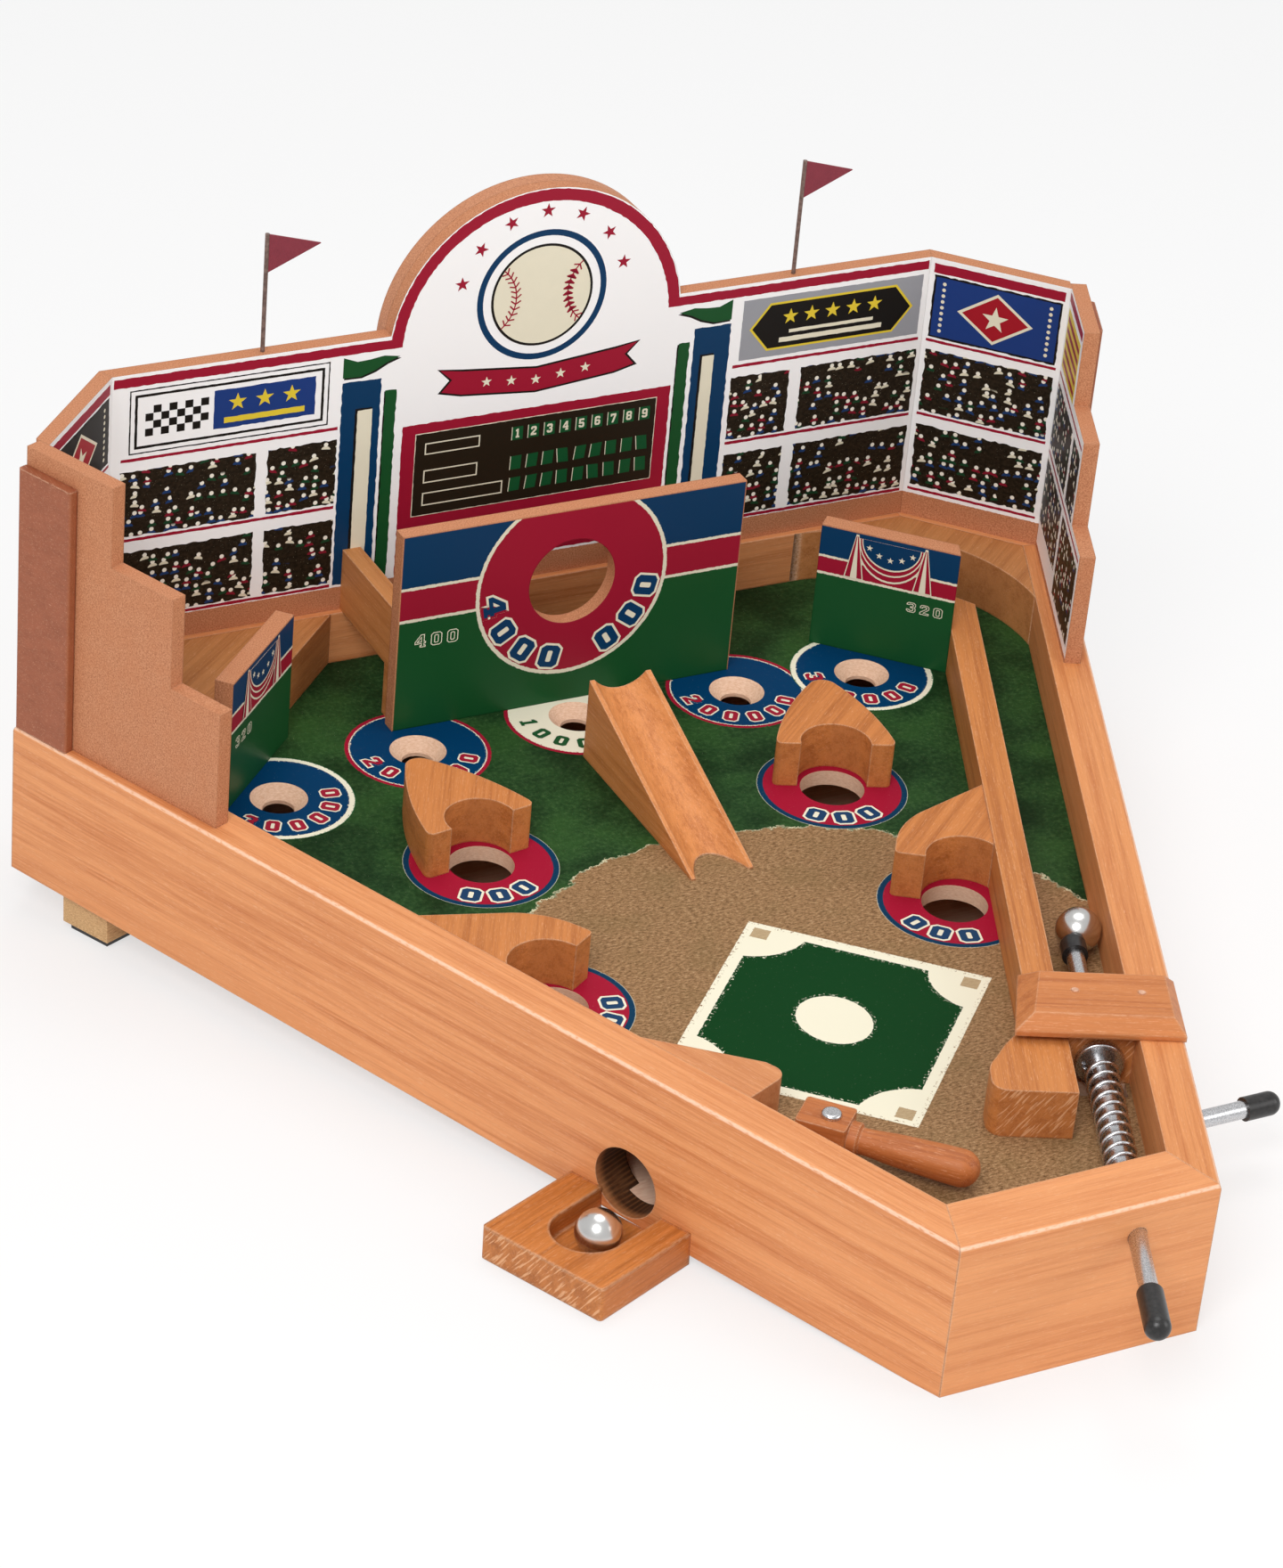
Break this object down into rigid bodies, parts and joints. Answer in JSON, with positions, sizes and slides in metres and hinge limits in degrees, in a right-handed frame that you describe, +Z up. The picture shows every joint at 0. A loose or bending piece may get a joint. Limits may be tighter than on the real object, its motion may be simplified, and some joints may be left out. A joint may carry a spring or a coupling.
{
  "type": "tabletop pinball game",
  "caption": "Tapered wooden tabletop pinball game with raked playfield, scoring cups, spring plunger, lever-driven bat and a painted stadium backdrop.",
  "frame": {"origin": "middle of the flat under the front rail, on the surface the game stands on", "axes": "+Z up, +Y from the player's end towards the stadium, +X to the player's right"},
  "size_m": [0.429, 0.4808, 0.2379],
  "materials": {
    "rail_wood": "satin oiled",
    "trim_wood": "satin oiled",
    "bat_wood": "satin stained",
    "playfield_print": "printed, satin",
    "plywood": "raw",
    "printed_board": "printed, satin",
    "stained_wood": "stained, matte",
    "pole_metal": "dull",
    "pennant": "matte",
    "steel": "polished",
    "ball_steel": "mirror",
    "rubber": "satin"
  },
  "bodies": {
    "box": {"front_rail": "rail_wood", "left_rail": "rail_wood", "right_rail": "rail_wood", "back_rail": "rail_wood", "corner_rail_left": "rail_wood", "corner_rail_right": "rail_wood", "ball_tray": "rail_wood", "lane_divider": "trim_wood", "left_guide": "trim_wood", "bridge": "trim_wood", "plunger_block": "trim_wood", "bumper_upper_left": "trim_wood", "bumper_upper_right": "trim_wood", "bumper_lower_left": "trim_wood", "bumper_lower_right": "trim_wood", "ramp": "trim_wood", "left_filler": "trim_wood", "right_filler": "trim_wood", "bracket_left": "trim_wood", "bracket_right": "trim_wood", "lever_block": "trim_wood", "playfield": "playfield_print", "base_panel": "plywood", "return_deflector": "plywood", "rear_foot_left": "plywood", "rear_foot_right": "plywood", "main_board": "printed_board", "arch_backing": "printed_board", "angled_panel_left": "printed_board", "angled_panel_right": "printed_board", "wing_left": "printed_board", "wing_right": "printed_board", "home_run_board": "printed_board", "bunting_board_left": "printed_board", "bunting_board_right": "printed_board", "batten_left": "stained_wood", "batten_right": "stained_wood", "flag_pole_left": "pole_metal", "flag_pole_right": "pole_metal", "pennant_left": "pennant", "pennant_right": "pennant", "plunger_spring": "steel", "bridge_nails": "steel", "rubber_pad_left": "rubber", "rubber_pad_right": "rubber"},
    "plunger": {"plunger_rod": "steel", "plunger_tip": "rubber", "plunger_collar": "steel", "plunger_cap": "rubber"},
    "bat": {"bat": "bat_wood", "bat_spindle": "steel", "bat_crank": "steel"},
    "lever": {"lever_rod": "steel", "lever_cap": "rubber"},
    "lane_ball": {"lane_ball": "ball_steel"},
    "tray_ball": {"tray_ball": "ball_steel"}
  },
  "joints": [
    {"name": "plunger_pull", "type": "slide", "parent": "box", "child": "plunger", "axis": [-0.4011, -0.9151, -0.0416], "range_m": [0, 0.028], "stiffness_N_per_m": 150, "springref_m": -0.003, "deforming": ["plunger_spring"]},
    {"name": "lever_pull", "type": "slide", "parent": "box", "child": "lever", "axis": [1, 0, 0], "range_m": [0, 0.01221], "stiffness_N_per_m": 150, "springref_m": -0.003},
    {"name": "bat_swing", "type": "hinge", "parent": "box", "child": "bat", "pos_m": [-0.0473, 0.07571, 0.04083], "axis": [0, -0.0454, 0.999], "range_deg": [0, 66]},
    {"name": "lane_ball_roll", "type": "slide", "parent": "box", "child": "lane_ball", "axis": [0.4011, 0.9151, 0.0416], "range_m": [0, 0.15]},
    {"name": "tray_ball_lift", "type": "slide", "parent": "box", "child": "tray_ball", "axis": [0, 0, 1], "range_m": [0, 0.04]}
  ],
  "couplings": [
    {"joint": "bat_swing", "follows": "lever_pull", "rad_per_m": 94.295}
  ]
}
